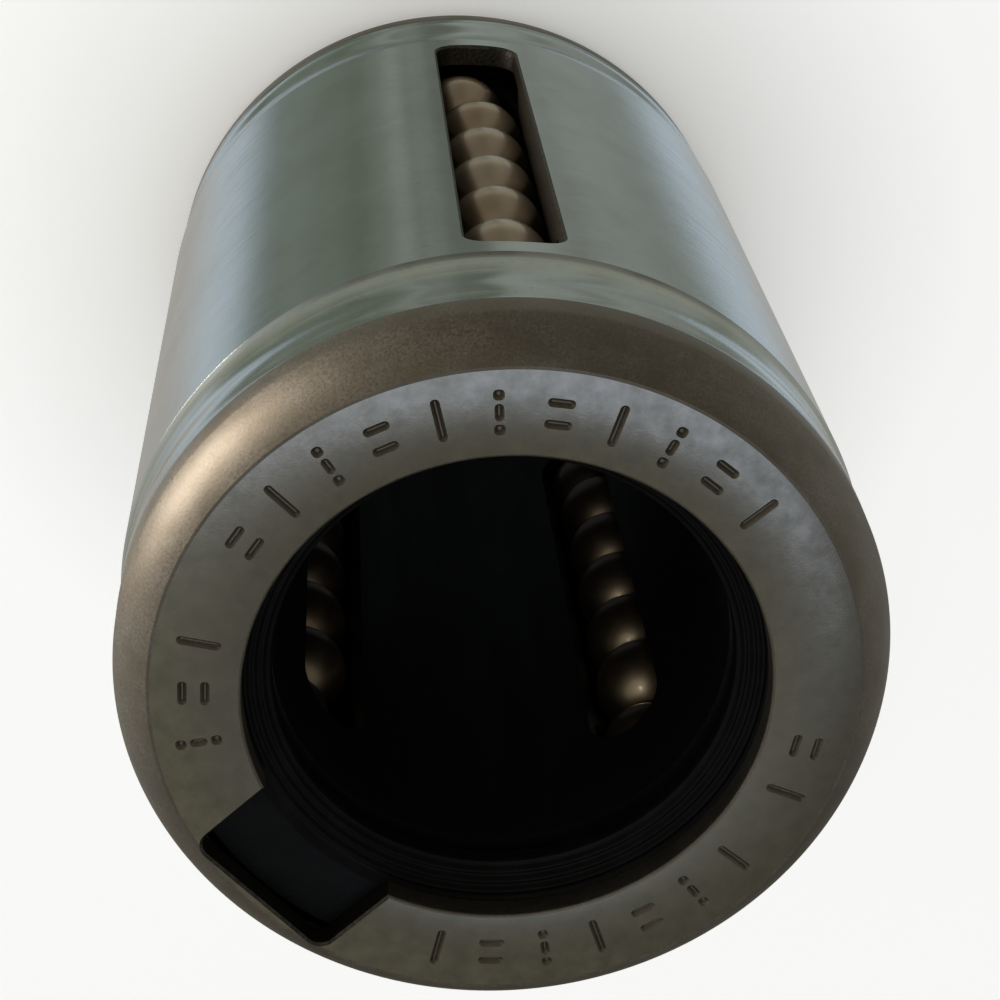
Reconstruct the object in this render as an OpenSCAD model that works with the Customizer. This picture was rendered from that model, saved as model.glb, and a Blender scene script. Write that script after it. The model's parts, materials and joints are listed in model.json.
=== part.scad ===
// Linear ball bushing: a drawn steel cup with a moulded cage, four endless
// loops of balls and a rubber wiper seal at each end.
// Frame: the bore axis is Z, the rear end face lies on z = 0 and the notched
// front end face is at the top. The first loop's window faces +X.

/* [Bushing] */
// Diameter of the shaft that runs in the bushing
shaft_d = 10; // [8:0.1:12]
// Length over the two end faces
length = 26; // [20:0.1:36]
// Thickness of the steel over the loaded ball tracks
track_wall = 1.09; // [0.9:0.01:1.6]
// Number of ball loops
loops = 4; // [3:1:4]

/* [Balls] */
// Diameter of each ball
ball_d = 2.381; // [1.9:0.001:2.9]
// Free play between one ball and the next
ball_play = 0.049; // [0.04:0.001:0.08]
// Play between a loaded ball and its steel track
track_play = 0.029; // [0.02:0.001:0.06]
// How much further out the returning balls run than the loaded ones
return_lift = 0.43; // [0.3:0.01:0.5]

/* [Cup] */
// Thickness of each turned-in end lip
lip = 0.6; // [0.5:0.05:0.8]
// How far the lip's hole stands back from the shaft
lip_gap = 0.64; // [0.4:0.01:1]
// Steel left around the relief bores at the two ends
relief_wall = 0.55; // [0.45:0.01:0.8]
// Width of the rounded rim, measured inwards from the outside
rim_width = 0.88; // [0.6:0.01:1.2]
// Height of the rounded rim, measured from the end face
rim_height = 1.7; // [1.4:0.05:2]
// Depth of the unground band beside each rim
band_depth = 0.08; // [0.04:0.01:0.12]
// Distance from an end face to where the ground surface starts
band_end = 4.2; // [3.5:0.1:5]
// Width of the chamfer that ends each unground band
band_chamfer = 0.16; // [0.1:0.01:0.3]
// Width of each window over a returning row
window_w = 2.2; // [1.8:0.01:2.34]
// How far a window runs past the straight rows at each end
window_over = 2.02; // [1.5:0.01:2.4]
// Corner radius of the windows
window_corner = 0.5; // [0.3:0.05:0.85]
// How far the raceway stops short of the straight rows' ends
track_short = 0.5; // [0.4:0.05:0.8]

/* [Notch] */
// Angle of the notch in the front lip
notch_angle = 225; // [0:1:359]
// Width of the notch in the front lip
notch_w = 3.9; // [3:0.1:5]
// Distance from the notch's outer edge to the outside
notch_margin = 1.12; // [1:0.01:1.6]
// Corner radius of the notch
notch_corner = 0.35; // [0.2:0.05:0.6]

/* [Stamping] */
// Depth of the stamped marks in the front face
stamp_depth = 0.1; // [0.05:0.01:0.2]
// Line width of the stamped marks
stamp_line = 0.2; // [0.15:0.01:0.3]
// Height of the stamped marks
stamp_height = 0.95; // [0.7:0.05:1.1]
// Angle between neighbouring stamped marks
stamp_step = 10.5; // [10:0.5:14]

/* [Cage] */
// How far the cage's bore stands back from the shaft
cage_gap = 0.07; // [0.05:0.01:0.09]
// Play between the cage and the steel around it
cage_play = 0.11; // [0.08:0.01:0.15]
// Play between a ball and the walls of its channel
channel_play = 0.11; // [0.08:0.01:0.15]
// Play between a returning ball and the channel's floor
floor_play = 0.1; // [0.08:0.01:0.12]
// Width of the slot through which the loaded balls reach the shaft
slot_w = 2.1; // [1.7:0.01:2.2]
// Wall between a ball at the end of its loop and the cage's end
cage_end_wall = 1; // [0.8:0.1:1.5]
// Width of the collar that centres each end of the cage
collar_w = 0.7; // [0.5:0.05:0.9]

/* [Seals] */
// Thickness of each wiper seal
seal_t = 1.5; // [1.2:0.05:2]
// End play between a seal and the parts on its two sides
seal_play = 0.05; // [0.03:0.01:0.1]
// How far a seal's lip stands back from the shaft
seal_gap = 0.04; // [0.02:0.01:0.06]
// Width of a seal's wiping edge along the shaft
seal_land = 0.4; // [0.3:0.05:0.6]
// Height of the fine ridges moulded on a seal's outer side
ridge_h = 0.18; // [0.1:0.01:0.25]

/* [Hidden] */
$fn = 96;
eps = 0.01;
// How far a cutter runs past what it cuts
over = 1;

// Shaft, balls and their pitch
shaft_r = shaft_d / 2;
ball_r = ball_d / 2;
pitch = ball_d + ball_play;
load_r = shaft_r + ball_r;
return_r = load_r + return_lift;
track_r = load_r + ball_r + track_play;
outer_r = track_r + track_wall;
relief_r = outer_r - relief_wall;
mid_z = length / 2;

// Stack along the axis, measured from the middle
lip_z = mid_z - lip;
seal_z = lip_z - seal_play;
cage_half = seal_z - seal_t - seal_play;

// Each loop has two straight rows and two half turns of three balls
turn_r = pitch;
turn_balls = 3;
turn_step = 180 / turn_balls;
row_balls = floor((cage_half - cage_end_wall - turn_r - ball_r) * 2 / pitch);
row_half = row_balls * pitch / 2;
row_angle = 180 / PI * turn_r / ((load_r + return_r) / 2);
loop_step = 360 / loops;

// Cage and cup sizes that follow from the balls
bore_r = shaft_r + cage_gap;
cage_r = track_r - cage_play;
collar_r = relief_r - cage_play / 2;
floor_r = return_r - ball_r - floor_play;
channel_w = ball_d + 2 * channel_play;
turn_outer = turn_r + channel_w / 2;
island_r = turn_r - channel_w / 2;
lip_r = shaft_r + lip_gap;
window_half = row_half + window_over;
track_half = row_half - track_short;
far = outer_r + over;

// The rim is one arc from the outside to the end face
rim_r = (rim_width * rim_width + rim_height * rim_height) / (2 * rim_width);
rim_x = outer_r - rim_r;
rim_z = mid_z - rim_height;
rim_steps = 14;
inner_steps = 8;

// Where a seal's outer corner is bevelled and its back steps in, beside the lip's hole
seal_bevel = rim_height * 0.35;
seal_step = 0.3;

// Stamped marks: an upright stroke, two level strokes, or a short stroke between two points
STROKE = 0;
LEVELS = 1;
DOTTED = 2;
stamp_r = (lip_r + outer_r - rim_width) / 2;
short_stroke = stamp_height * 0.4;
level_w = stamp_height * 0.6;
level_y = stamp_height * 0.25;
point_y = stamp_height * 0.4;
point_w = stamp_line * 1.2;

// Rows of marks around the front face: [angle of a row's middle, marks in it]
stamp_groups = [
    [notch_angle - 45, 3], [notch_angle - 130, 11],
    [notch_angle + 120, 2], [notch_angle + 66, 7]
];

// Direction in which loop k's middle faces; its window faces (k - 1) * loop_step
function loop_angle(k) = (k - 1) * loop_step + row_angle;

// Radius of a ball's path t degrees into a turn: it climbs in the first half
function path_r(t) = t < 90 ? load_r + return_lift * (1 - pow(1 - t / 90, 2)) : return_r;

// A ball's centre t degrees into a turn, from the loaded row to the return row
function path_angle(t) = row_angle * cos(t);
function path_z(t) = row_half + turn_r * sin(t);

// Rounded rectangle, w across X and h along Y, centred
module rounded(w, h, r) {
    union() {
        square([w, h - 2 * r], center = true);
        square([w - 2 * r, h], center = true);
        for (x = [-1, 1], y = [-1, 1])
            translate([x * (w / 2 - r), y * (h / 2 - r)]) circle(r);
    }
}

// Runs a flat shape, X across and Y along the axis, outwards from radius r0
module radial_cut(angle, r0, r1) {
    translate([0, 0, mid_z]) rotate([0, 0, angle]) translate([r0, 0, 0])
        rotate([90, 0, 90]) linear_extrude(r1 - r0) children();
}

// ---- Cup ----

// Points of an arc about (x, z) from angle a to angle b
function arc(x, z, r, a, b, n) =
    [for (i = [0:n]) let (t = a + (b - a) * i / n) [x + r * cos(t), z + r * sin(t)]];

// Half of the cup's section, from the middle up to one end
module half_section() {
    rim_end = asin(rim_height / rim_r);
    inner_end = asin((rim_height - lip) / (rim_r - relief_wall));
    ground_z = mid_z - band_end;
    band_r = outer_r - band_depth;
    outside = concat(
        [[outer_r, 0], [outer_r, ground_z], [band_r, ground_z + band_chamfer], [band_r, rim_z]],
        [for (p = arc(rim_x, rim_z, rim_r, 0, rim_end, rim_steps)) if (p[0] < band_r) p]
    );
    inside = concat(
        [[lip_r, mid_z], [lip_r, lip_z]],
        arc(rim_x, rim_z, rim_r - relief_wall, inner_end, 0, inner_steps),
        [[relief_r, track_half + relief_r - track_r], [track_r, track_half], [track_r, 0]]
    );
    polygon(concat(outside, inside));
}

// The revolved surfaces start half way between two windows
module cup_body() {
    translate([0, 0, mid_z]) rotate([0, 0, loop_step / 2]) union() {
        rotate_extrude() half_section();
        mirror([0, 0, 1]) rotate_extrude() half_section();
    }
}

// One stamped mark, standing upright
module stamp_mark(kind) {
    if (kind == STROKE) square([stamp_line, stamp_height], center = true);
    if (kind == DOTTED) square([stamp_line, short_stroke], center = true);
    for (y = [-1, 1]) {
        if (kind == LEVELS) translate([0, y * level_y]) square([level_w, stamp_line], center = true);
        if (kind == DOTTED) translate([0, y * point_y]) square(point_w, center = true);
    }
}

module stamp_row(middle, count) {
    for (i = [0:count - 1])
        rotate([0, 0, middle + (i - (count - 1) / 2) * stamp_step - 90])
            translate([0, stamp_r, 0]) stamp_mark(i % (DOTTED + 1));
}

module outer_ring() {
    notch_far = outer_r - notch_margin;
    color("#7b8279") difference() {
        cup_body();
        for (k = [1:loops])
            radial_cut((k - 1) * loop_step, track_r - over, far)
                rounded(window_w, 2 * window_half, window_corner);
        translate([0, 0, length - lip - eps]) linear_extrude(lip + over)
            rotate([0, 0, notch_angle])
                translate([(lip_r - over + notch_far) / 2, 0])
                    rounded(notch_far - lip_r + over, notch_w, notch_corner);
        translate([0, 0, length - stamp_depth]) linear_extrude(over)
            for (group = stamp_groups) stamp_row(group[0], group[1]);
    }
}

// ---- Cage ----

// Outline of one end of the cage, from the middle up
module cage_section() {
    polygon([
        [bore_r, 0], [cage_r, 0], [cage_r, cage_half - collar_w - collar_r + cage_r],
        [collar_r, cage_half - collar_w], [collar_r, cage_half], [bore_r, cage_half]
    ]);
}

// Both half turns of a loop's channel, seen from outside
module turn_shape() {
    difference() {
        union() {
            for (y = [-1, 1]) translate([0, y * row_half]) circle(turn_outer);
        }
        square([4 * turn_outer, 2 * row_half], center = true);
        for (y = [-1, 1]) translate([0, y * row_half]) circle(island_r);
    }
}

module cage() {
    color("#141416") difference() {
        translate([0, 0, mid_z]) union() {
            rotate_extrude() cage_section();
            mirror([0, 0, 1]) rotate_extrude() cage_section();
        }
        for (k = [1:loops]) {
            // Channel of the returning row, open towards the window
            radial_cut(loop_angle(k) - row_angle, floor_r, far)
                square([channel_w, 2 * row_half + eps], center = true);
            // Channel of the loaded row
            radial_cut(loop_angle(k) + row_angle, floor_r, far)
                square([channel_w, 2 * row_half + eps], center = true);
            // Slot to the shaft
            radial_cut(loop_angle(k) + row_angle, shaft_r - over, far)
                rounded(slot_w, 2 * (row_half + slot_w), slot_w / 2 - eps);
            // The two turns, down to the same round floor
            difference() {
                radial_cut(loop_angle(k), bore_r - over, far) turn_shape();
                cylinder(h = length, r = floor_r);
            }
        }
    }
}

// ---- Seals ----

// Section of a seal: radius against distance from its inner face
module seal_section() {
    land_r = shaft_r + seal_gap;
    body_r = lip_r - ridge_h;
    back_r = relief_r - cage_play;
    edge_r = relief_r - seal_bevel;
    polygon([
        [land_r, seal_t / 2 - seal_land / 2], [body_r, seal_step], [body_r, 0], [back_r, 0],
        [back_r, seal_t - rim_height + lip], [edge_r, seal_t],
        [lip_r + ridge_h, seal_t], [lip_r, seal_t - ridge_h],
        [body_r, seal_t - ridge_h], [body_r - ridge_h / 2, seal_t - 2 * ridge_h],
        [land_r, seal_t / 2 + seal_land / 2]
    ]);
}

module front_seal() {
    color("#1b1b1d") translate([0, 0, mid_z + cage_half + seal_play])
        rotate_extrude() seal_section();
}

module rear_seal() {
    color("#1b1b1d") translate([0, 0, mid_z - cage_half - seal_play])
        mirror([0, 0, 1]) rotate_extrude() seal_section();
}

// ---- Balls ----

module ball(angle, r, z) {
    color("#a89f96") rotate([0, 0, angle]) translate([r, 0, mid_z + z]) sphere(ball_r);
}

module row(angle, r) {
    for (i = [0:row_balls - 1]) ball(angle, r, (i - (row_balls - 1) / 2) * pitch);
}

module loaded_row(k) row(loop_angle(k) + row_angle, load_r);

module return_row(k) row(loop_angle(k) - row_angle, return_r);

// Ball n of a turn, counted from the loaded row; side is 1 in front, -1 at the rear
module turn_ball(k, n, side) {
    t = (n - 0.5) * turn_step;
    ball(loop_angle(k) + path_angle(t), path_r(t), side * path_z(t));
}

outer_ring();
cage();
front_seal();
rear_seal();
for (k = [1:loops]) {
    loaded_row(k);
    return_row(k);
    for (n = [1:turn_balls]) {
        turn_ball(k, n, 1);
        turn_ball(k, n, -1);
    }
}
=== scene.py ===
"""Looks for a linear ball bushing: steel cup, moulded cage, wiper seals, steel balls and a small studio."""
import json
import math

import bmesh
import bpy
import numpy as np
from bpy.props import FloatProperty, FloatVectorProperty, IntProperty, PointerProperty
from mathutils import Matrix, Vector


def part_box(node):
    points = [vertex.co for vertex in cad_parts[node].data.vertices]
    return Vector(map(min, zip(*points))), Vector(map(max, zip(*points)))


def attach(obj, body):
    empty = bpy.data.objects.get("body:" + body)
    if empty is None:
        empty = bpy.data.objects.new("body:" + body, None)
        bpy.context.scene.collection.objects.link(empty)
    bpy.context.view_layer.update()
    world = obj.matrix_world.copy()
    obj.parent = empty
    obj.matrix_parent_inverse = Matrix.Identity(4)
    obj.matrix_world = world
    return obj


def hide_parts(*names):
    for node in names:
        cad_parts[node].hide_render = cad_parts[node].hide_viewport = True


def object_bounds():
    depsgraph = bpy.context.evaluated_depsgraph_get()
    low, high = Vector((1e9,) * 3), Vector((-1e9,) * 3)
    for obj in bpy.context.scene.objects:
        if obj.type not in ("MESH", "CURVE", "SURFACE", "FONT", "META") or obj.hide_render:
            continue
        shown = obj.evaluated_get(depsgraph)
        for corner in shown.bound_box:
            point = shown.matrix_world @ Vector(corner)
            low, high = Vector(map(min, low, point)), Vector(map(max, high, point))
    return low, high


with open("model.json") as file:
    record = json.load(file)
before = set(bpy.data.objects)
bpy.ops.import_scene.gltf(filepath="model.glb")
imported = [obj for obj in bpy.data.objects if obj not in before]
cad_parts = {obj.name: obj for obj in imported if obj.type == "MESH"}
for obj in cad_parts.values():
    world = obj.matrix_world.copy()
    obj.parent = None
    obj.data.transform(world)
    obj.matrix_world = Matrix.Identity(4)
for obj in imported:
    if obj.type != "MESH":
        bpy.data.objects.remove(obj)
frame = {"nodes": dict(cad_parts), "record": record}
CAD_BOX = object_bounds()

bl_info = {
    "name": "Linear Ball Bushing",
    "version": (1, 0, 0),
    "blender": (4, 5, 0),
    "location": "View3D > Sidebar > Bushing",
    "description": "Finishes a linear ball bushing with steel, polyamide and rubber surfaces",
    "category": "Object",
}

MM = 0.001
ROOT_BODY = "housing"
OUTER_R = CAD_BOX[1].x / MM
LENGTH = CAD_BOX[1].z / MM
MID_Z = LENGTH / 2

# Steps round the bore axis, and the angle in degrees over which an edge stays sharp
CUP_STEPS, SEAL_STEPS, FLOOR_STEPS = 288, 240, 96
CUP_CREASE, SEAL_CREASE = 28, 40


def node_size(node):
    """How far a node of the frame reaches along x, y and z, in millimetres."""
    low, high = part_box(node)
    return (high - low) / MM


# Balls and rows, read from the frame
BALL_D = node_size("front_turn_ball_1_1").z
ROW_SPAN = node_size("return_row_1").z - BALL_D
ROW_GAPS = int(ROW_SPAN / BALL_D)
PITCH = ROW_SPAN / ROW_GAPS
ROW_HALF = PITCH * (ROW_GAPS + 1) / 2
SEAL_R = node_size("front_seal").x / 2


# ---- Colours, nodes and meshes ----


def linear(hex_colour):
    """An sRGB hex colour as linear red, green, blue and alpha."""
    channels = [int(hex_colour[i : i + 2], 16) / 255 for i in (1, 3, 5)]
    return tuple(c / 12.92 if c <= 0.04045 else ((c + 0.055) / 1.055) ** 2.4 for c in channels) + (1.0,)


def add(tree, kind, settings=None, inputs=None):
    """Adds a node, sets its properties, and fills or links its inputs."""
    node = tree.nodes.new(kind)
    for name, value in (settings or {}).items():
        setattr(node, name, value)
    for name, value in (inputs or {}).items():
        if isinstance(value, bpy.types.NodeSocket):
            tree.links.new(value, node.inputs[name])
        else:
            node.inputs[name].default_value = value
    return node


def new_material(name):
    """A material with an empty node tree, and that tree."""
    material = bpy.data.materials.new(name)
    material.use_nodes = True
    material.node_tree.nodes.clear()
    return material, material.node_tree


def shade(colour, factors):
    """A colour with each channel scaled, and full alpha."""
    return tuple(min(1, c * f) for c, f in zip(colour, factors)) + (1.0,)


def grains(tree, size_mm, low, high, detail=3.0):
    """A mask from 0 to 1 whose grains measure size_mm = (x, y, z) millimetres on the object."""
    place = add(tree, "ShaderNodeTexCoord")
    scale = tuple(1 / (s * MM) for s in size_mm)
    stretched = add(
        tree, "ShaderNodeMapping", inputs={"Vector": place.outputs["Object"], "Scale": scale}
    )
    noise = add(
        tree,
        "ShaderNodeTexNoise",
        inputs={"Vector": stretched.outputs["Vector"], "Scale": 1.0, "Detail": detail, "Roughness": 0.6},
    )
    mask = add(
        tree,
        "ShaderNodeMapRange",
        inputs={"Value": noise.outputs["Fac"], "From Min": low, "From Max": high},
    )
    return mask.outputs["Result"]


def mesh_object(name, vertices_mm, faces):
    """An object from vertices in millimetres and faces, with shared smooth shading."""
    mesh = bpy.data.meshes.new(name)
    mesh.from_pydata([tuple(c * MM for c in v) for v in vertices_mm], [], faces)
    mesh.validate()
    mesh.update()
    piece = bpy.data.objects.new(name, mesh)
    bpy.context.scene.collection.objects.link(piece)
    for polygon in mesh.polygons:
        polygon.use_smooth = True
    return piece


def arc(x, z, radius, start, end, steps):
    """Points of an arc about (x, z), angles in degrees."""
    angles = [math.radians(start + (end - start) * i / steps) for i in range(steps + 1)]
    return [(x + radius * math.cos(a), z + radius * math.sin(a)) for a in angles]


def lathe(name, outline, segments, finishes=None, closed=True):
    """Turns an outline of (radius, z) points, in millimetres, about the bore axis.

    finishes holds the material index of each stretch; an outline that isn't closed gives a sheet."""
    count = len(outline)
    stretches = count if closed else count - 1
    vertices = []
    for step in range(segments):
        angle = 2 * math.pi * step / segments
        vertices += [(r * math.cos(angle), r * math.sin(angle), z) for r, z in outline]
    faces = []
    for step in range(segments):
        here, there = step * count, (step + 1) % segments * count
        for i in range(stretches):
            j = (i + 1) % count
            faces.append((here + i, there + i, there + j, here + j))
    piece = mesh_object(name, vertices, faces)
    if finishes:
        for polygon in piece.data.polygons:
            polygon.material_index = finishes[polygon.index % count]
    return piece


def rounded_rectangle(width, height, radius, steps=8):
    """Corner-rounded outline as (across, along) points, counter-clockwise."""
    points = []
    for sx, sy, start in ((1, 1, 0), (-1, 1, 90), (-1, -1, 180), (1, -1, 270)):
        cx, cy = sx * (width / 2 - radius), sy * (height / 2 - radius)
        points += arc(cx, cy, radius, start, start + 90, steps)
    return points


def loft(name, rings):
    """A closed solid through rings of equally many points, capped at both ends."""
    count = len(rings[0])
    vertices = [p for ring in rings for p in ring]
    faces = [tuple(reversed(range(count)))]
    for k in range(len(rings) - 1):
        a, b = k * count, (k + 1) * count
        faces += [(a + i, a + (i + 1) % count, b + (i + 1) % count, b + i) for i in range(count)]
    faces.append(tuple(range(len(vertices) - count, len(vertices))))
    return mesh_object(name, vertices, faces)


def cut(piece, cutters):
    """Takes the cutters out of a piece and deletes them."""
    for cutter in cutters:
        step = piece.modifiers.new("cut", "BOOLEAN")
        step.operation = "DIFFERENCE"
        step.solver = "EXACT"
        step.material_mode = "INDEX"
        step.object = cutter
    bpy.context.view_layer.update()
    evaluated = piece.evaluated_get(bpy.context.evaluated_depsgraph_get())
    mesh = bpy.data.meshes.new_from_object(evaluated)
    piece.modifiers.clear()
    old = piece.data
    piece.data = mesh
    bpy.data.meshes.remove(old)
    mesh.name = piece.name
    for cutter in cutters:
        cutter_mesh = cutter.data
        bpy.data.objects.remove(cutter)
        bpy.data.meshes.remove(cutter_mesh)


def outline_normals(outline, crease=25.0):
    """For each stretch of a closed outline: its own normal, and the smooth normals at its two ends."""
    points = np.array(outline)
    along = np.roll(points, -1, 0) - points
    length = np.linalg.norm(along, axis=1)
    flat = np.stack([along[:, 1], -along[:, 0]], 1) / length[:, None]
    limit = math.cos(math.radians(crease))
    ends = []
    for i in range(len(points)):
        before, after = flat[i - 1], flat[(i + 1) % len(points)]
        start = flat[i] + before if flat[i] @ before > limit else flat[i]
        end = flat[i] + after if flat[i] @ after > limit else flat[i]
        ends.append((start / np.linalg.norm(start), end / np.linalg.norm(end)))
    return points, along, length, flat, ends


def turned_normals(piece, outline):
    """Gives every face that still lies on the turned outline the true normals of that outline."""
    # A face belongs to a stretch if it lies within near_mm of it, no further past its ends than the
    # share overrun, and the cosine between their normals is at least alike; nowhere rules it out
    near_mm, overrun, alike, nowhere = 0.006, 0.01, 0.985, 9
    points, along, length, flat, ends = outline_normals(outline)
    mesh = piece.data
    mesh.set_sharp_from_angle(angle=math.radians(CUP_CREASE))
    # a corner left at zero keeps the normal it has
    custom = np.zeros((len(mesh.loops), 3))
    co = np.array([v.co for v in mesh.vertices]) / MM
    for polygon in mesh.polygons:
        corners = co[list(polygon.vertices)]
        radii = np.hypot(corners[:, 0], corners[:, 1])
        middle = np.array([radii.mean(), corners[:, 2].mean()])
        offset = middle - points
        distance = np.abs((offset * flat).sum(1))
        share = (offset * along).sum(1) / length**2
        distance[(share < -overrun) | (share > 1 + overrun)] = nowhere
        i = int(distance.argmin())
        if distance[i] > near_mm:
            continue
        outward = corners.mean(0)[:2]
        outward = outward / (np.linalg.norm(outward) or 1)
        true = np.array([flat[i][0] * outward[0], flat[i][0] * outward[1], flat[i][1]])
        if true @ np.array(polygon.normal) < alike:
            continue
        for k, loop in enumerate(polygon.loop_indices):
            along_share = ((np.array([radii[k], corners[k, 2]]) - points[i]) @ along[i]) / length[i] ** 2
            along_share = min(max(along_share, 0), 1)
            n = ends[i][0] * (1 - along_share) + ends[i][1] * along_share
            n = n / np.linalg.norm(n)
            out = corners[k, :2] / (radii[k] or 1)
            custom[loop] = (n[0] * out[0], n[0] * out[1], n[1])
    mesh.normals_split_custom_set(custom.tolist())


# ---- Settings ----


class BushingCupSettings(bpy.types.PropertyGroup):
    """Sizes and colours of the steel cup."""

    track_wall: FloatProperty(
        name="Track wall", description="Steel over the ball tracks, mm", default=1.09, min=0.5
    )
    relief_wall: FloatProperty(
        name="Relief wall", description="Steel around the relief bores, mm", default=0.55, min=0.2
    )
    lip: FloatProperty(
        name="Lip", description="Thickness of the turned-in lips, mm", default=0.6, min=0.3
    )
    lip_radius: FloatProperty(
        name="Lip hole", description="Radius of the hole in each lip, mm", default=5.64, min=4
    )
    rim_width: FloatProperty(
        name="Rim width", description="Width of the rounded rim, mm", default=0.88, min=0.3
    )
    rim_height: FloatProperty(
        name="Rim height", description="Height of the rounded rim, mm", default=1.7, min=0.5
    )
    band_depth: FloatProperty(
        name="Band depth", description="Depth of the unground band, mm", default=0.08, min=0.01
    )
    band_end: FloatProperty(
        name="Band end", description="From an end face to the ground surface, mm", default=4.2, min=2
    )
    band_chamfer: FloatProperty(
        name="Band chamfer", description="Width of the chamfer that ends a band, mm", default=0.16, min=0.05
    )
    window_width: FloatProperty(
        name="Window width", description="Width of each ball window, mm", default=2.2, min=1
    )
    window_over: FloatProperty(
        name="Window overrun", description="How far a window runs past its row, mm", default=2.02, min=0.5
    )
    window_corner: FloatProperty(
        name="Window corner", description="Corner radius of the windows, mm", default=0.5, min=0.1
    )
    window_count: IntProperty(
        name="Windows", description="Number of ball windows", default=4, min=1
    )
    track_short: FloatProperty(
        name="Track end", description="How far a ball track stops short of its row, mm", default=0.5, min=0
    )
    notch_angle: FloatProperty(
        name="Notch angle", description="Where the notch in the front lip is, degrees", default=225.0
    )
    notch_width: FloatProperty(
        name="Notch width", description="Width of the notch, mm", default=3.9, min=1
    )
    notch_margin: FloatProperty(
        name="Notch margin", description="Steel left outside the notch, mm", default=1.12, min=0.5
    )
    notch_corner: FloatProperty(
        name="Notch corner", description="Corner radius of the notch, mm", default=0.35, min=0.1
    )
    edge_break: FloatProperty(
        name="Edge break", description="Chamfer on punched edges, mm", default=0.06, min=0
    )
    stamp_depth: FloatProperty(
        name="Stamp depth", description="Depth of the stamped marks, mm", default=0.1, min=0.02
    )
    stamp_line: FloatProperty(
        name="Stamp line", description="Line width of the stamped marks, mm", default=0.2, min=0.1
    )
    stamp_height: FloatProperty(
        name="Stamp height", description="Height of the stamped marks, mm", default=0.95, min=0.3
    )
    stamp_step: FloatProperty(
        name="Stamp step", description="Angle between stamped marks, degrees", default=10.5, min=5
    )
    ground_colour: FloatVectorProperty(
        name="Ground steel", subtype="COLOR", size=3, default=linear("#adb0ab")[:3],
        description="Colour of the ground outside",
    )
    drawn_colour: FloatVectorProperty(
        name="Drawn steel", subtype="COLOR", size=3, default=linear("#8a8379")[:3],
        description="Colour of the unground rim",
    )
    face_colour: FloatVectorProperty(
        name="End face", subtype="COLOR", size=3, default=linear("#98948b")[:3],
        description="Colour of the flat end faces",
    )


class BushingCageSettings(bpy.types.PropertyGroup):
    """Colour of the moulded cage."""

    colour: FloatVectorProperty(
        name="Polyamide", subtype="COLOR", size=3, default=linear("#0c0c0d")[:3],
        description="Colour of the moulded cage",
    )


class BushingSealSettings(bpy.types.PropertyGroup):
    """Sizes and colour of the wiper seals."""

    edge_radius: FloatProperty(
        name="Wiping edge", description="Radius of the edge that wipes the shaft, mm", default=5.04, min=4
    )
    ridge: FloatProperty(
        name="Ridge", description="Height of the moulded ridges, mm", default=0.07, min=0.01
    )
    ridges: IntProperty(
        name="Ridges", description="Number of moulded ridges", default=3, min=1
    )
    colour: FloatVectorProperty(
        name="Rubber", subtype="COLOR", size=3, default=linear("#0b0b0c")[:3],
        description="Colour of the seals",
    )


class BushingBallSettings(bpy.types.PropertyGroup):
    """Sizes and colour of the balls."""

    diameter: FloatProperty(
        name="Ball diameter", description="Diameter of each ball, mm", default=BALL_D, min=0.5
    )
    facets: IntProperty(
        name="Facets", description="Squares along each side of a ball's six patches", default=20, min=4
    )
    colour: FloatVectorProperty(
        name="Ball steel", subtype="COLOR", size=3, default=linear("#bcab96")[:3],
        description="Colour of the lapped balls",
    )


class BushingStageSettings(bpy.types.PropertyGroup):
    """Camera, lights and floor."""

    camera_place: FloatVectorProperty(
        name="Camera", subtype="XYZ", size=3, default=(-4.241, 24.403, 66.408),
        description="Camera position, mm",
    )
    camera_target: FloatVectorProperty(
        name="Target", subtype="XYZ", size=3, default=(-0.456, 4.673, 26.0),
        description="Point the camera looks at, mm",
    )
    camera_up: FloatVectorProperty(
        name="Up", description="Direction that is up in the picture", size=3,
        default=(-0.0230, 0.8975, -0.4404),
    )
    lens: FloatProperty(
        name="Lens", description="Focal length on a 36 mm sensor, mm", default=80.24, min=10
    )
    key_power: FloatProperty(
        name="Key light", unit="POWER", default=0.088, min=0,
        description="Power of the side light, W",
    )
    top_power: FloatProperty(
        name="Top light", unit="POWER", default=0.021, min=0,
        description="Power of the overhead light, W",
    )
    lamp_power: FloatProperty(
        name="Front lamp", unit="POWER", default=0.004, min=0,
        description="Power of the small lamp in front, W",
    )
    floor_colour: FloatVectorProperty(
        name="Floor", subtype="COLOR", size=3, default=linear("#efefef")[:3],
        description="Colour of the floor and backdrop",
    )
    floor_glow: FloatProperty(
        name="Floor glow", description="Even light that the floor gives off", default=0.78, min=0
    )


# ---- Steel cup ----


GROUND, DRAWN, FACE, PUNCHED = range(4)

# Faint turning steps in the unground band: share of the band's width, and depth in millimetres
BAND_STEPS = ((0.22, 0.0), (0.3, 0.04), (0.52, 0.04), (0.62, 0.0), (0.86, 0.0), (0.93, 0.03))


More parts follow.
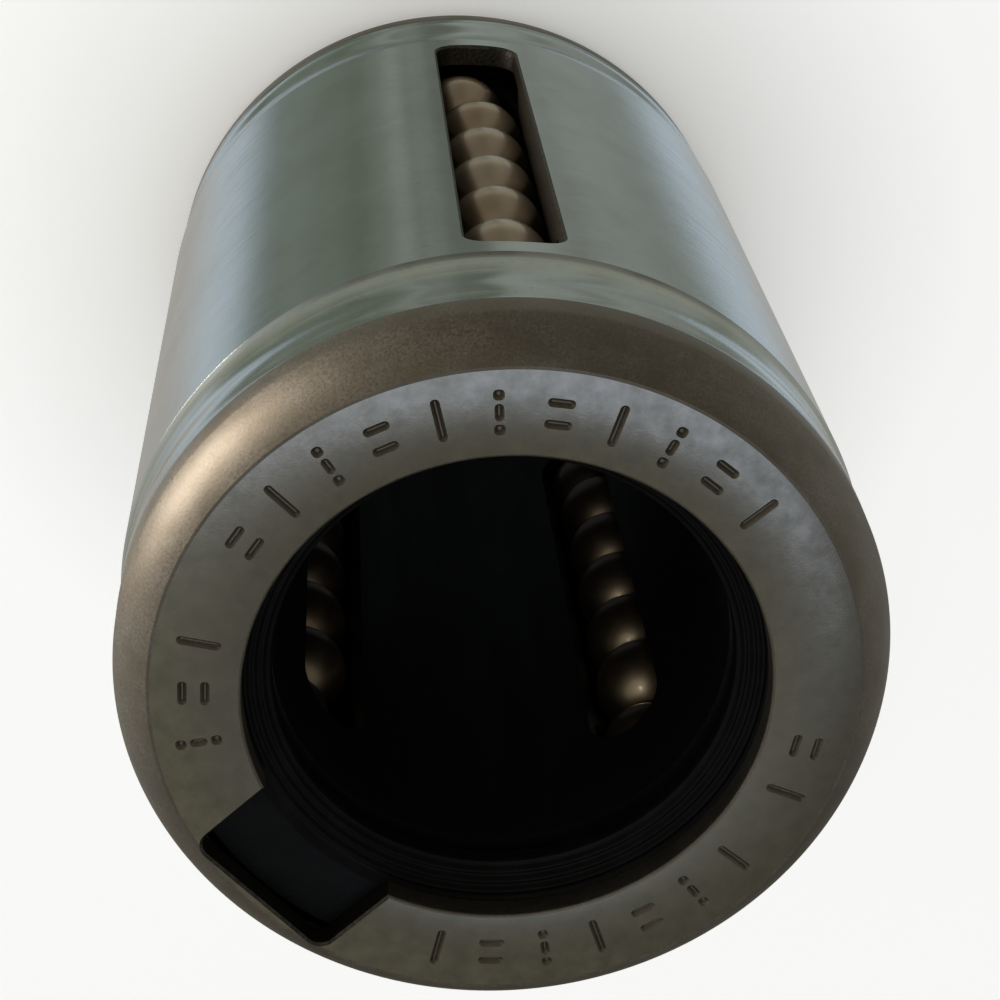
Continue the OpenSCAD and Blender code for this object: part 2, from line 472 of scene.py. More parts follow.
def cup_outline(cup):
    """Closed outline of the cup, counter-clockwise, and the finish of each stretch of it."""
    rim_r = (cup.rim_width**2 + cup.rim_height**2) / (2 * cup.rim_width)
    rim_x = OUTER_R - rim_r
    rim_z = MID_Z - cup.rim_height
    rim_end = math.degrees(math.asin(cup.rim_height / rim_r))
    inner_r = rim_r - cup.relief_wall
    inner_end = math.degrees(math.asin((cup.rim_height - cup.lip) / inner_r))
    band_r = OUTER_R - cup.band_depth
    ground_z = MID_Z - cup.band_end
    band_z = ground_z + cup.band_chamfer
    relief_r = OUTER_R - cup.relief_wall
    track_r = OUTER_R - cup.track_wall
    track_z = ROW_HALF - cup.track_short
    lip_z = MID_Z - cup.lip
    soft = 0.07
    soft_x = cup.lip_radius + soft
    burr = 0.012
    rim_steps, inner_steps, soft_steps = 28, 10, 4

    band = [(OUTER_R, ground_z - 2 * burr), (OUTER_R - burr, ground_z), (band_r, band_z)]
    band += [(band_r - depth, band_z + share * (rim_z - band_z)) for share, depth in BAND_STEPS]
    rim = [(band_r, rim_z)]
    rim += [p for p in arc(rim_x, rim_z, rim_r, 0, rim_end, rim_steps) if p[0] < band_r - burr / 3]
    face = [(OUTER_R - cup.rim_width - soft, MID_Z)]
    inside = arc(soft_x, MID_Z - soft, soft, 90, 180, soft_steps)
    inside += arc(soft_x, lip_z + soft, soft, 180, 270, soft_steps)
    inside += arc(rim_x, rim_z, inner_r, inner_end, 0, inner_steps)
    inside += [(relief_r, track_z + relief_r - track_r), (track_r, track_z)]

    half = band + rim + face + inside
    finishes = [GROUND] * len(band) + [DRAWN] * len(rim) + [FACE] * len(face) + [DRAWN] * (len(inside) - 1)
    upper = [(r, MID_Z + z) for r, z in half]
    lower = [(r, MID_Z - z) for r, z in reversed(half)]
    return upper + lower, finishes + [DRAWN] + finishes[::-1] + [GROUND]


def window_cutter(cup, angle):
    """Cutter for one ball window, with a small chamfer that follows the round outside."""
    turn = math.radians(angle)
    length = 2 * (ROW_HALF + cup.window_over)
    broken = cup.edge_break

    def ring(depth, grow):
        points = []
        shape = rounded_rectangle(cup.window_width + 2 * grow, length + 2 * grow, cup.window_corner + grow)
        for across, along in shape:
            x = math.sqrt(OUTER_R**2 - across**2) + depth
            points.append(
                (
                    x * math.cos(turn) - across * math.sin(turn),
                    x * math.sin(turn) + across * math.cos(turn),
                    MID_Z + along,
                )
            )
        return points

    through, clear = -2 * cup.track_wall, 0.5
    rings = [ring(through, 0), ring(-broken, 0), ring(0, broken), ring(clear, broken + clear)]
    return loft("window_cutter", rings)


def notch_cutter(cup):
    """Cutter for the notch through the front lip, open to the lip's hole."""
    turn = math.radians(cup.notch_angle)
    into_hole = 1.5
    inner, outer = cup.lip_radius - into_hole, OUTER_R - cup.notch_margin
    middle = (outer + inner) / 2
    broken = cup.edge_break

    def ring(z, grow):
        width, height = outer - inner + 2 * grow, cup.notch_width + 2 * grow
        return [
            (
                (middle + x) * math.cos(turn) - y * math.sin(turn),
                (middle + x) * math.sin(turn) + y * math.cos(turn),
                z,
            )
            for x, y in rounded_rectangle(width, height, cup.notch_corner + grow)
        ]

    spare = 0.05
    below = LENGTH - cup.lip - spare
    rings = [ring(below, 0), ring(LENGTH - broken, 0), ring(LENGTH + spare, broken + spare)]
    return loft("notch_cutter", rings)


# Rows of marks on the front face: from the notch to a row's middle in degrees, and marks in the row
STAMP_ROWS = ((-45, 3), (-130, 11), (120, 2), (66, 7))


def stamp_cutters(cup):
    """V-shaped punches for the rows of generic strokes and points on the front face."""
    radius = (cup.lip_radius + OUTER_R - cup.rim_width) / 2
    line, height = cup.stamp_line, cup.stamp_height
    point = line * 1.2
    # each mark is a list of bars: their middle, width and height
    stroke = [(0, line, height)]
    levels = [(side * height / 4, height * 0.6, line) for side in (-1, 1)]
    dotted = [(0, line, height * 0.4)] + [(side * height * 0.4, point, point) for side in (-1, 1)]
    marks = (stroke, levels, dotted)
    flank, corner, corner_steps = line * 0.42, line / 2.2, 3
    cutters = []
    for middle, count in STAMP_ROWS:
        for i in range(count):
            angle = cup.notch_angle + middle + (i - (count - 1) / 2) * cup.stamp_step - 90
            turn = math.radians(angle)
            for bar_y, bar_w, bar_h in marks[i % len(marks)]:
                rings = []
                for z, grow in ((-cup.stamp_depth, -flank), (0, 0), (cup.stamp_depth, flank)):
                    width, tall = bar_w + 2 * grow, bar_h + 2 * grow
                    shape = rounded_rectangle(width, tall, corner + grow, corner_steps)
                    rings.append(
                        [
                            (
                                x * math.cos(turn) - (radius + bar_y + y) * math.sin(turn),
                                x * math.sin(turn) + (radius + bar_y + y) * math.cos(turn),
                                LENGTH + z,
                            )
                            for x, y in shape
                        ]
                    )
                cutters.append(loft("stamp_cutter", rings))
    return cutters


def join(pieces):
    """Makes one object of several that don't touch."""
    whole = bmesh.new()
    for piece in pieces:
        whole.from_mesh(piece.data)
    first, rest = pieces[0], pieces[1:]
    whole.to_mesh(first.data)
    whole.free()
    for piece in rest:
        mesh = piece.data
        bpy.data.objects.remove(piece)
        bpy.data.meshes.remove(mesh)
    return first


def ground_steel(colour):
    """Bearing steel, hardened and centreless ground: fine rings round the outside draw the light out
    along the axis, with faint stains of handling oil."""
    material, tree = new_material("Bearing steel, centreless ground")
    # Grinding lines are about 0.02 mm apart; drawn 0.09 mm apart so that they show
    lines = grains(tree, (60, 60, 0.09), 0.3, 0.7)
    stains = grains(tree, (1.9, 1.9, 2.8), 0.42, 0.72, 4.0)
    specks = grains(tree, (0.16, 0.16, 0.16), 0.6, 0.8)
    stained = add(
        tree,
        "ShaderNodeMix",
        {"data_type": "RGBA"},
        {0: stains, 6: shade(colour, (1, 1, 1)), 7: shade(colour, (0.83, 0.82, 0.79))},
    )
    speckled = add(
        tree,
        "ShaderNodeMix",
        {"data_type": "RGBA"},
        {0: specks, 6: stained.outputs[2], 7: shade(colour, (0.8, 0.76, 0.7))},
    )
    gloss = add(tree, "ShaderNodeMapRange", inputs={"Value": lines, "To Min": 0.13, "To Max": 0.21})
    around = add(tree, "ShaderNodeTangent", {"direction_type": "RADIAL", "axis": "Z"})
    rings = add(tree, "ShaderNodeBump", inputs={"Height": lines, "Distance": 0.0012 * MM})
    shader = add(
        tree,
        "ShaderNodeBsdfPrincipled",
        inputs={
            "Base Color": speckled.outputs[2],
            "Metallic": 1.0,
            "Roughness": gloss.outputs["Result"],
            "Anisotropic": 0.75,
            "Anisotropic Rotation": 0.25,
            "Tangent": around.outputs["Tangent"],
            "Normal": rings.outputs["Normal"],
        },
    )
    add(tree, "ShaderNodeOutputMaterial", inputs={"Surface": shader.outputs["BSDF"]})
    return material


def drawn_steel(colour):
    """Deep-drawn and carburised steel, left unground: matte, with a brown heat tint and fine grain."""
    material, tree = new_material("Carburised steel, deep drawn")
    grain = grains(tree, (0.06, 0.06, 0.06), 0.3, 0.7)
    patches = grains(tree, (1.1, 1.1, 0.6), 0.35, 0.68, 4.0)
    tinted = add(
        tree,
        "ShaderNodeMix",
        {"data_type": "RGBA"},
        {0: patches, 6: shade(colour, (1, 1, 1)), 7: shade(colour, (0.7, 0.67, 0.62))},
    )
    grained = add(
        tree,
        "ShaderNodeMix",
        {"data_type": "RGBA"},
        {0: grain, 6: shade(colour, (0.6, 0.57, 0.53)), 7: tinted.outputs[2]},
    )
    gloss = add(tree, "ShaderNodeMapRange", inputs={"Value": grain, "To Min": 0.45, "To Max": 0.57})
    tooth = add(tree, "ShaderNodeBump", inputs={"Height": grain, "Distance": 0.0012 * MM})
    shader = add(
        tree,
        "ShaderNodeBsdfPrincipled",
        inputs={
            "Base Color": grained.outputs[2],
            "Metallic": 1.0,
            "Roughness": gloss.outputs["Result"],
            "Normal": tooth.outputs["Normal"],
        },
    )
    add(tree, "ShaderNodeOutputMaterial", inputs={"Surface": shader.outputs["BSDF"]})
    return material


def face_steel(colour):
    """Drawn steel, tumbled: the flat lip is satin and softly mottled, with small handling marks."""
    material, tree = new_material("Carburised steel, tumbled")
    grain = grains(tree, (0.05, 0.05, 0.05), 0.3, 0.7)
    clouds = grains(tree, (0.5, 0.5, 0.5), 0.34, 0.66, 5.0)
    mottled = add(
        tree,
        "ShaderNodeMix",
        {"data_type": "RGBA"},
        {0: clouds, 6: shade(colour, (0.72, 0.72, 0.69)), 7: shade(colour, (1, 1, 1))},
    )
    gloss = add(tree, "ShaderNodeMapRange", inputs={"Value": clouds, "To Min": 0.19, "To Max": 0.14})
    tooth = add(tree, "ShaderNodeBump", inputs={"Height": grain, "Distance": 0.0003 * MM})
    shader = add(
        tree,
        "ShaderNodeBsdfPrincipled",
        inputs={
            "Base Color": mottled.outputs[2],
            "Metallic": 1.0,
            "Roughness": gloss.outputs["Result"],
            "Normal": tooth.outputs["Normal"],
        },
    )
    add(tree, "ShaderNodeOutputMaterial", inputs={"Surface": shader.outputs["BSDF"]})
    return material


def punched_steel():
    """Steel sheared by a punch: dull walls torn into fine streaks through the thickness, coloured dark as
    painted shade inside the windows and the notch.
    """
    material, tree = new_material("Carburised steel, punched")
    tears = grains(tree, (0.1, 0.1, 0.1), 0.3, 0.7)
    # painted shade: both colours are far darker than the steel around, for the shade inside the punched
    # openings
    base = add(
        tree,
        "ShaderNodeMix",
        {"data_type": "RGBA"},
        {0: tears, 6: linear("#5a564e"), 7: linear("#34312d")},
    )
    gloss = add(tree, "ShaderNodeMapRange", inputs={"Value": tears, "To Min": 0.4, "To Max": 0.52})
    tooth = add(tree, "ShaderNodeBump", inputs={"Height": tears, "Distance": 0.006 * MM})
    shader = add(
        tree,
        "ShaderNodeBsdfPrincipled",
        inputs={
            "Base Color": base.outputs[2],
            "Metallic": 1.0,
            "Roughness": gloss.outputs["Result"],
            "Normal": tooth.outputs["Normal"],
        },
    )
    add(tree, "ShaderNodeOutputMaterial", inputs={"Surface": shader.outputs["BSDF"]})
    return material


class BUSHING_OT_cup(bpy.types.Operator):
    """Builds the steel cup with its windows, notch, rims and stamped marks."""

    bl_idname = "bushing.cup"
    bl_label = "Steel cup"

    def execute(self, context):
        cup = context.scene.bushing_cup
        outline, finishes = cup_outline(cup)
        piece = lathe("steel_cup", outline, CUP_STEPS, finishes)
        step = 360 / cup.window_count
        punches = [window_cutter(cup, k * step) for k in range(cup.window_count)] + [notch_cutter(cup)]
        stamps = stamp_cutters(cup)
        for cutters, finish in ((punches, PUNCHED), (stamps, DRAWN)):
            for cutter in cutters:
                for polygon in cutter.data.polygons:
                    polygon.material_index = finish
        punch = join(punches + stamps)
        for material in (
            ground_steel(cup.ground_colour),
            drawn_steel(cup.drawn_colour),
            face_steel(cup.face_colour),
            punched_steel(),
        ):
            piece.data.materials.append(material)
            punch.data.materials.append(material)
        cut(piece, [punch])
        for polygon in piece.data.polygons:
            polygon.use_smooth = True
        turned_normals(piece, outline)
        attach(piece, ROOT_BODY)
        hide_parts("outer_ring")
        return {"FINISHED"}


# ---- Cage ----


def cage_polyamide(colour):
    """Polyamide, injection moulded: near black, a soft satin skin with a fine spark-eroded grain."""
    material, tree = new_material("Polyamide, injection moulded")
    grain = grains(tree, (0.08, 0.08, 0.08), 0.3, 0.7)
    flow = grains(tree, (0.9, 0.9, 6.0), 0.4, 0.7, 2.0)
    base = add(
        tree,
        "ShaderNodeMix",
        {"data_type": "RGBA"},
        {0: flow, 6: shade(colour, (1, 1, 1)), 7: shade(colour, (1.9, 1.9, 2.0))},
    )
    gloss = add(tree, "ShaderNodeMapRange", inputs={"Value": flow, "To Min": 0.46, "To Max": 0.34})
    tooth = add(tree, "ShaderNodeBump", inputs={"Height": grain, "Distance": 0.003 * MM})
    shader = add(
        tree,
        "ShaderNodeBsdfPrincipled",
        inputs={
            "Base Color": base.outputs[2],
            "Roughness": gloss.outputs["Result"],
            "IOR": 1.53,
            "Specular IOR Level": 0.45,
            "Normal": tooth.outputs["Normal"],
        },
    )
    add(tree, "ShaderNodeOutputMaterial", inputs={"Surface": shader.outputs["BSDF"]})
    return material


class BUSHING_OT_cage(bpy.types.Operator):
    """Gives the moulded cage its polyamide."""

    bl_idname = "bushing.cage"
    bl_label = "Moulded cage"

    def execute(self, context):
        node = frame["nodes"]["cage"]
        material = cage_polyamide(context.scene.bushing_cage.colour)
        if not node.material_slots:
            raise RuntimeError("the cage has no material slot to fill")
        for slot in node.material_slots:
            slot.material = material
        return {"FINISHED"}


# ---- Seals ----


def seal_rubber(colour):
    """Nitrile rubber, compression moulded: deep black and matte, with a slight bloom."""
    material, tree = new_material("Nitrile rubber, moulded")
    grain = grains(tree, (0.07, 0.07, 0.07), 0.3, 0.7)
    bloom = grains(tree, (0.8, 0.8, 0.8), 0.45, 0.75)
    base = add(
        tree,
        "ShaderNodeMix",
        {"data_type": "RGBA"},
        {0: bloom, 6: shade(colour, (1, 1, 1)), 7: shade(colour, (2, 2, 2))},
    )
    gloss = add(tree, "ShaderNodeMapRange", inputs={"Value": grain, "To Min": 0.42, "To Max": 0.55})
    tooth = add(tree, "ShaderNodeBump", inputs={"Height": grain, "Distance": 0.003 * MM})
    shader = add(
        tree,
        "ShaderNodeBsdfPrincipled",
        inputs={
            "Base Color": base.outputs[2],
            "Roughness": gloss.outputs["Result"],
            "IOR": 1.52,
            "Specular IOR Level": 0.12,
            "Normal": tooth.outputs["Normal"],
        },
    )
    add(tree, "ShaderNodeOutputMaterial", inputs={"Surface": shader.outputs["BSDF"]})
    return material


def seal_outline(seal, lip_r, low, high, side):
    """Closed outline of a seal between two heights; side is 1 in front and -1 at the rear."""
    thick = high - low
    edge_r = seal.edge_radius
    body_gap = 0.18
    body_r = lip_r - body_gap

    # a share of 0 is the side that faces the cage, and 1 the side at the lip
    def up(share):
        return low + share * thick if side > 0 else high - share * thick

    points = [(edge_r, up(0.38)), (edge_r + 0.05, up(0.3)), (body_r - 0.16, up(0.16))]
    points += [(body_r, up(0.12)), (body_r + 0.04, up(0)), (SEAL_R - 0.06, up(0)), (SEAL_R, up(0.04))]
    points += [(SEAL_R, up(0.27)), (SEAL_R - 0.09, up(0.45)), (SEAL_R - 0.28, up(0.7))]
    points += [(SEAL_R - 0.49, up(1)), (lip_r + 0.26, up(1)), (lip_r + 0.2, up(0.98))]
    points += [(lip_r + 0.12, up(0.9))]
    # moulded ridges between the turned-in lip and the wiping edge
    start_r, start_share = lip_r + 0.04, 0.88
    end_r, end_share = edge_r + 0.1, 0.62
    ridge_steps = 8
    steps = ridge_steps * seal.ridges
    for i in range(steps + 1):
        t = i / steps
        wave = seal.ridge * (0.5 - 0.5 * math.cos(2 * math.pi * seal.ridges * t))
        height = up(start_share + (end_share - start_share) * t)
        points.append((start_r + (end_r - start_r) * t, height + side * wave))
    points += [(edge_r + 0.03, up(0.6)), (edge_r, up(0.56))]
    return points if side > 0 else points[::-1]


class BUSHING_OT_seals(bpy.types.Operator):
    """Builds the wiper seal behind each lip."""

    bl_idname = "bushing.seals"
    bl_label = "Wiper seals"

    def execute(self, context):
        seal = context.scene.bushing_seal
        lip_r = context.scene.bushing_cup.lip_radius
        material = seal_rubber(seal.colour)
        for node, side in (("front_seal", 1), ("rear_seal", -1)):
            low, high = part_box(node)
            outline = seal_outline(seal, lip_r, low.z / MM, high.z / MM, side)
            piece = lathe(node + "_rubber", outline, SEAL_STEPS)
            piece.data.materials.append(material)
            piece.data.set_sharp_from_angle(angle=math.radians(SEAL_CREASE))
            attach(piece, ROOT_BODY)
            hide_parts(node)
        return {"FINISHED"}


# ---- Balls ----


def ball_steel(colour):
    """Chrome steel, through hardened and lapped, under a film of oil: a soft brown body, and thin sharp
    highlights where the oil catches the light."""
    material, tree = new_material("Chrome steel, lapped")
    film = grains(tree, (1.8, 1.8, 1.8), 0.38, 0.62, 2.0)
    scuffs = grains(tree, (0.09, 0.09, 0.5), 0.4, 0.8)
    base = add(
        tree,
        "ShaderNodeMix",
        {"data_type": "RGBA"},
        {0: film, 6: shade(colour, (1, 1, 1)), 7: shade(colour, (0.9, 0.83, 0.76))},
    )
    gloss = add(tree, "ShaderNodeMapRange", inputs={"Value": scuffs, "To Min": 0.38, "To Max": 0.48})
    shader = add(
        tree,
        "ShaderNodeBsdfPrincipled",
        inputs={
            "Base Color": base.outputs[2],
            "Metallic": 1.0,
            "Roughness": gloss.outputs["Result"],
            "Coat Weight": 0.8,
            "Coat Roughness": 0.07,
            "Coat IOR": 1.47,
        },
    )
    add(tree, "ShaderNodeOutputMaterial", inputs={"Surface": shader.outputs["BSDF"]})
    return material


def ball_mesh(centres, radius, facets):
    """Balls of even facets, without poles: six patches of a cube pushed out to each sphere."""
    vertices, faces = [], []
    for centre in centres:
        lattice = {}

        def corner(p):
            if p not in lattice:
                angles = [math.tan((2 * c / facets - 1) * math.pi / 4) for c in p]
                length = math.sqrt(sum(a * a for a in angles))
                lattice[p] = len(vertices)
                vertices.append(tuple(centre[i] + radius * angles[i] / length for i in range(3)))
            return lattice[p]

        for axis in range(3):
            for side in (0, facets):
                for i in range(facets):
                    for j in range(facets):
                        square = []
                        for a, b in ((i, j), (i + 1, j), (i + 1, j + 1), (i, j + 1)):
                            p = [0, 0, 0]
                            p[axis], p[(axis + 1) % 3], p[(axis + 2) % 3] = side, a, b
                            square.append(corner(tuple(p)))
                        faces.append(tuple(square if side else reversed(square)))
    return vertices, faces


class BUSHING_OT_balls(bpy.types.Operator):
    """Builds every ball of the loops, at the place its node gives."""

    bl_idname = "bushing.balls"
    bl_label = "Balls"

    def execute(self, context):
        balls = context.scene.bushing_balls
        radius = balls.diameter / 2
        material = ball_steel(balls.colour)
        bodies = {n: b for b, ns in frame["record"]["behaviour"]["bodies"].items() for n in ns}
        for node in sorted(n for n in frame["nodes"] if "_row_" in n or "_turn_ball_" in n):
            low, high = (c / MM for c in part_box(node))
            middle = (low + high) / 2
            count = 1 + round((high.z - low.z - balls.diameter) / PITCH)
            centres = [
                (middle.x, middle.y, middle.z + (i - (count - 1) / 2) * PITCH) for i in range(count)
            ]
            piece = mesh_object(node + "_steel", *ball_mesh(centres, radius, balls.facets))
            piece.data.materials.append(material)
            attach(piece, bodies[node])
            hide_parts(node)
        return {"FINISHED"}


# ---- Stage ----


def aim(thing, place_mm, target_mm, up=(0, 0, 1)):
    """Puts a camera or a light at a place and points it at a target."""
    place, target = Vector(place_mm) * MM, Vector(target_mm) * MM
    back = (place - target).normalized()
    right = Vector(up).cross(back).normalized()
    above = back.cross(right)
    thing.location = place
    thing.rotation_mode = "QUATERNION"
    thing.rotation_quaternion = Matrix((right, above, back)).transposed().to_quaternion()


# Lights: their place and target, their width and height in millimetres, and their colour
KEY_LIGHT = ((-96, 32, 12), (0, 0, 24), (40, 18), "#fff6ea")
TOP_LIGHT = ((-4, -20, 150), (0, 0, MID_Z), (94, 68), "#c9d8f5")
FRONT_LAMP = ((-22, 44, 115), (0, 0, LENGTH), (9, 9), "#f2f2ee")

# Leans a little off upright, so that a light straight overhead still has a way up
LIGHT_UP = (0.01, 0.02, 1)


def area_light(name, set_up, power):
    """A rectangular light from its set-up and its power in watts."""
    place, target, size_mm, colour = set_up
    light = bpy.data.lights.new(name, "AREA")
    light.shape = "RECTANGLE"
    light.size, light.size_y = (s * MM for s in size_mm)
    light.energy = power
    light.color = linear(colour)[:3]
    thing = bpy.data.objects.new(name, light)
    bpy.context.scene.collection.objects.link(thing)
    aim(thing, place, target, LIGHT_UP)
    return thing


# Floor and the card of painted shade lie just under the bushing, and start this far from the axis, in
# millimetres
FLOOR_Z, SHADE_Z, START_R = -0.01, -0.005, 0.001

# Width of the camera's sensor in millimetres, and how near it sees in metres
SENSOR_WIDTH, NEAREST = 36.0, 0.002

# Which slice of the noise makes the light and dark stretches of the surroundings
NOISE_SLICE = 1.9


def room_light():
    """Surroundings for the reflections: pale paper on one side, a dim grey-green room on the other, a
    soft panel to the left and a weaker one to the right at the height of the object, a dim ceiling."""
    world = bpy.data.worlds.new("studio")
    bpy.context.scene.world = world
    world.use_nodes = True
    tree = world.node_tree
    tree.nodes.clear()
    towards = add(tree, "ShaderNodeTexCoord").outputs["Generated"]
    height = add(tree, "ShaderNodeSeparateXYZ", inputs={"Vector": towards}).outputs["Z"]
    level = add(
        tree, "ShaderNodeVectorMath", {"operation": "MULTIPLY"}, {0: towards, 1: (1, 1, 0)}
    ).outputs[0]
    bearing = add(tree, "ShaderNodeVectorMath", {"operation": "NORMALIZE"}, {0: level}).outputs[0]
    side = add(tree, "ShaderNodeSeparateXYZ", inputs={"Vector": bearing})
    slice_of_noise = add(
        tree, "ShaderNodeVectorMath", {"operation": "ADD"}, {0: bearing, 1: (0, 0, NOISE_SLICE)}
    ).outputs[0]

    # below the horizon: paper and room, each the same all the way down
    streaks = add(tree, "ShaderNodeTexNoise", inputs={"Vector": slice_of_noise, "Scale": 3.6, "Detail": 2.0})
    streak_share = add(
        tree,
        "ShaderNodeMapRange",
        inputs={"Value": streaks.outputs["Fac"], "From Min": 0.4, "From Max": 0.6},
    )
    room = add(
        tree,
        "ShaderNodeMix",
        {"data_type": "RGBA"},
        {0: streak_share.outputs[0], 6: linear("#a9b0ac"), 7: linear("#727a70")},
    )
    # the left of the room lies deeper in shade
    deep_share = add(
        tree,
        "ShaderNodeMapRange",
        inputs={"Value": side.outputs["X"], "From Min": -0.3, "From Max": -0.65},
    )
    deep_room = add(
        tree,
        "ShaderNodeMix",
        {"data_type": "RGBA", "blend_type": "MULTIPLY"},
        {0: deep_share.outputs[0], 6: room.outputs[2], 7: linear("#dbe2d6")},
    )
    paper_share = add(
        tree,
        "ShaderNodeMapRange",
        inputs={"Value": side.outputs["Y"], "From Min": 0.04, "From Max": -0.07},
    )
    fold_share = add(
        tree,
        "ShaderNodeMapRange",
        inputs={"Value": side.outputs["Y"], "From Min": -0.3, "From Max": -0.6},
    )
    paper = add(
        tree,
        "ShaderNodeMix",
        {"data_type": "RGBA"},
        {0: fold_share.outputs[0], 6: linear("#d0e1f0"), 7: linear("#bab6b0")},
    )
    around = add(
        tree,
        "ShaderNodeMix",
        {"data_type": "RGBA"},
        {0: paper_share.outputs[0], 6: deep_room.outputs[2], 7: paper.outputs[2]},
    )
    # a pale edge where the room meets the table
    edge_share = add(
        tree,
        "ShaderNodeMapRange",
        {"interpolation_type": "SMOOTHSTEP"},
        {"Value": height, "From Min": -0.88, "From Max": -0.8},
    )
    edged = add(
        tree,
        "ShaderNodeMix",
        {"data_type": "RGBA"},
        {0: edge_share.outputs[0], 6: around.outputs[2], 7: linear("#b4b6aa")},
    )

    # at the height of the object: dim, with a soft panel to the left and a weaker one to the right
    wall = add(
        tree,
        "ShaderNodeMix",
        {"data_type": "RGBA"},
        {0: streak_share.outputs[0], 6: linear("#8c8b84"), 7: linear("#6d6c65")},
    )
    left_share = add(
        tree,
        "ShaderNodeMapRange",
        {"interpolation_type": "SMOOTHSTEP"},
        {"Value": side.outputs["X"], "From Min": -0.5, "From Max": -0.95},
    )
    right_share = add(
        tree,
        "ShaderNodeMapRange",
        {"interpolation_type": "SMOOTHSTEP"},
        {"Value": side.outputs["X"], "From Min": 0.7, "From Max": 1.0},
    )
    left = add(
        tree,
        "ShaderNodeMix",
        {"data_type": "RGBA"},
        {0: left_share.outputs[0], 6: wall.outputs[2], 7: linear("#d5d9d9")},
    )
    horizon = add(
        tree,
        "ShaderNodeMix",
        {"data_type": "RGBA"},
        {0: right_share.outputs[0], 6: left.outputs[2], 7: linear("#b9bdbc")},
    )
    horizon_share = add(
        tree,
        "ShaderNodeMapRange",
        {"interpolation_type": "SMOOTHSTEP"},
        {"Value": height, "From Min": -0.78, "From Max": -0.55},
    )
    lower = add(
        tree,
        "ShaderNodeMix",
        {"data_type": "RGBA"},
        {0: horizon_share.outputs[0], 6: edged.outputs[2], 7: horizon.outputs[2]},
    )
    # overhead: dim, and a little lighter to the left
    pale_share = add(
        tree,
        "ShaderNodeMapRange",
        inputs={"Value": side.outputs["X"], "From Min": 0.35, "From Max": -0.1},
    )
    ceiling = add(
        tree,
        "ShaderNodeMix",
        {"data_type": "RGBA"},
        {0: pale_share.outputs[0], 6: linear("#6e6d63"), 7: linear("#918f80")},
    )
    ceiling_share = add(
        tree,
        "ShaderNodeMapRange",
        {"interpolation_type": "SMOOTHSTEP"},
        {"Value": height, "From Min": 0.2, "From Max": 0.6},
    )
    colour = add(
        tree,
        "ShaderNodeMix",
        {"data_type": "RGBA"},
        {0: ceiling_share.outputs[0], 6: lower.outputs[2], 7: ceiling.outputs[2]},
    )
    background = add(tree, "ShaderNodeBackground", inputs={"Color": colour.outputs[2]})
    add(tree, "ShaderNodeOutputWorld", inputs={"Surface": background.outputs["Background"]})


def matt_card(name, colour, glow):
    """Card, matt coated: no gloss, and a glow that ambient occlusion dims, so it is an even pale ground with
    painted shade under and near the object.
    """
    material, tree = new_material(name)
    reach = 9.0
    # painted shade: ambient occlusion within reach of the object dims the glow
    painted_shade_occlusion = add(
        tree, "ShaderNodeAmbientOcclusion", {"samples": 12}, {"Distance": reach * MM}
    )
    strength = add(
        tree, "ShaderNodeMath", {"operation": "MULTIPLY"}, {0: painted_shade_occlusion.outputs["AO"], 1: glow}
    )
    shader = add(
        tree,
        "ShaderNodeBsdfPrincipled",
        inputs={
            "Base Color": colour,
            "Roughness": 0.9,
            "Emission Color": colour,
            "Emission Strength": strength.outputs["Value"],
        },
    )
    add(tree, "ShaderNodeOutputMaterial", inputs={"Surface": shader.outputs["BSDF"]})
    return material


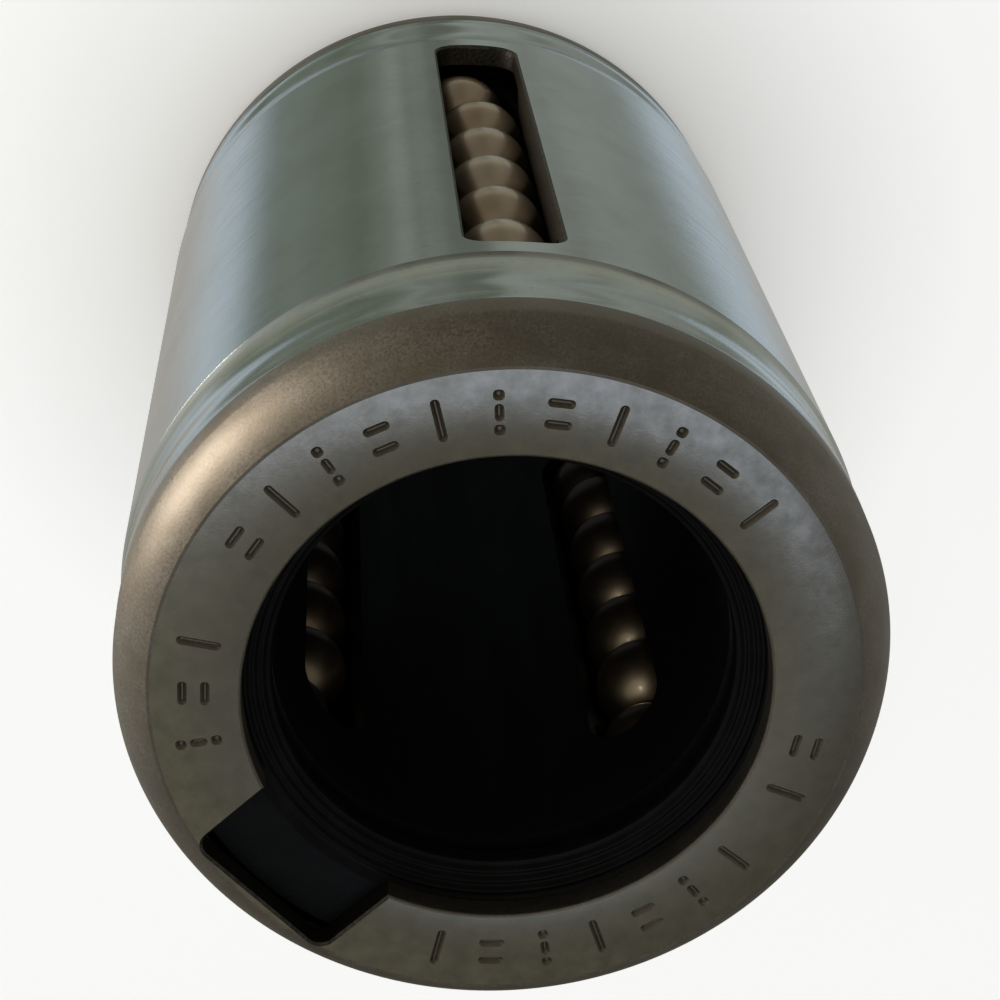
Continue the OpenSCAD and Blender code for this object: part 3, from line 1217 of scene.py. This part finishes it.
class BUSHING_OT_stage(bpy.types.Operator):
    """Sets up the camera, the lights, the pale floor and the surroundings."""

    bl_idname = "bushing.stage"
    bl_label = "Studio"

    def execute(self, context):
        stage = context.scene.bushing_stage
        camera = bpy.data.objects.new("camera", bpy.data.cameras.new("camera"))
        context.scene.collection.objects.link(camera)
        camera.data.lens = stage.lens
        camera.data.sensor_width = SENSOR_WIDTH
        camera.data.clip_start = NEAREST
        aim(camera, stage.camera_place, stage.camera_target, stage.camera_up)
        context.scene.camera = camera
        key = area_light("key_light", KEY_LIGHT, stage.key_power)
        area_light("top_light", TOP_LIGHT, stage.top_power)
        area_light("front_lamp", FRONT_LAMP, stage.lamp_power)
        # floor that rises into a round backdrop, out of sight of the reflections
        far, rise, top, rise_steps = 300, 400, 1400, 12
        outline = [(START_R, FLOOR_Z), (far, FLOOR_Z)] + arc(far, rise, rise, -90, 0, rise_steps)[1:]
        floor = lathe("floor", outline + [(far + rise, top)], FLOOR_STEPS, closed=False)
        floor.data.materials.append(
            matt_card("Card, matt coated", tuple(stage.floor_colour) + (1.0,), stage.floor_glow)
        )
        floor.visible_glossy = False
        floor.visible_diffuse = False
        floor.visible_shadow = False
        # the key light stands close to the floor and is shielded from it
        shielded = bpy.data.collections.new("shielded_from_key_light")
        shielded.objects.link(floor)
        shielded.collection_objects[0].light_linking.link_state = "EXCLUDE"
        key.light_linking.receiver_collection = shielded
        # painted shade: a darker card straight under the bushing stands in for the floor in the bushing's
        # shade and closes the bore from below; its faint glow lights the bore and puts a painted sheen on
        # the cage and balls
        shade_r = OUTER_R - 2 * context.scene.bushing_cup.rim_width
        outline = [(START_R, SHADE_Z), (shade_r, SHADE_Z)]
        painted_shade_card = lathe("painted_shade_floor", outline, FLOOR_STEPS, closed=False)
        # painted shade and glow: a darker colour and a weaker glow than the floor around it
        painted_shade_colour, painted_shade_glow = linear("#8a8f92"), 0.16
        painted_shade_card.data.materials.append(matt_card("Card, matt coated, painted shade", painted_shade_colour, painted_shade_glow))
        room_light()
        context.scene.view_settings.view_transform = "Standard"
        return {"FINISHED"}


class BUSHING_PT_panel(bpy.types.Panel):
    """Lists the pieces of the bushing."""

    bl_idname = "BUSHING_PT_panel"
    bl_label = "Linear Ball Bushing"
    bl_space_type = "VIEW_3D"
    bl_region_type = "UI"
    bl_category = "Bushing"

    def draw(self, context):
        for name, operators in SECTIONS:
            box = self.layout.box()
            settings = getattr(context.scene, name)
            for key in settings.bl_rna.properties.keys():
                if key not in ("rna_type", "name"):
                    box.prop(settings, key)
            for operator in operators:
                box.operator(operator)


SECTIONS = (
    ("bushing_stage", ("bushing.stage",)),
    ("bushing_cup", ("bushing.cup",)),
    ("bushing_cage", ("bushing.cage",)),
    ("bushing_seal", ("bushing.seals",)),
    ("bushing_balls", ("bushing.balls",)),
)

SETTINGS = {
    "bushing_cup": BushingCupSettings,
    "bushing_cage": BushingCageSettings,
    "bushing_seal": BushingSealSettings,
    "bushing_balls": BushingBallSettings,
    "bushing_stage": BushingStageSettings,
}

OPERATORS = (BUSHING_OT_stage, BUSHING_OT_cup, BUSHING_OT_cage, BUSHING_OT_seals, BUSHING_OT_balls)


def register():
    """Registers the settings, the operators and the panel."""
    for name, group in SETTINGS.items():
        bpy.utils.register_class(group)
        setattr(bpy.types.Scene, name, PointerProperty(type=group))
    for operator in OPERATORS:
        bpy.utils.register_class(operator)
    bpy.utils.register_class(BUSHING_PT_panel)


def unregister():
    """Takes the panel, the operators and the settings away again."""
    bpy.utils.unregister_class(BUSHING_PT_panel)
    for operator in reversed(OPERATORS):
        bpy.utils.unregister_class(operator)
    for name, group in reversed(SETTINGS.items()):
        delattr(bpy.types.Scene, name)
        bpy.utils.unregister_class(group)


def main():
    """Builds the stage and the pieces."""
    register()
    bpy.ops.bushing.stage()
    bpy.ops.bushing.cup()
    bpy.ops.bushing.cage()
    bpy.ops.bushing.seals()
    bpy.ops.bushing.balls()


if __name__ == "__main__":
    main()
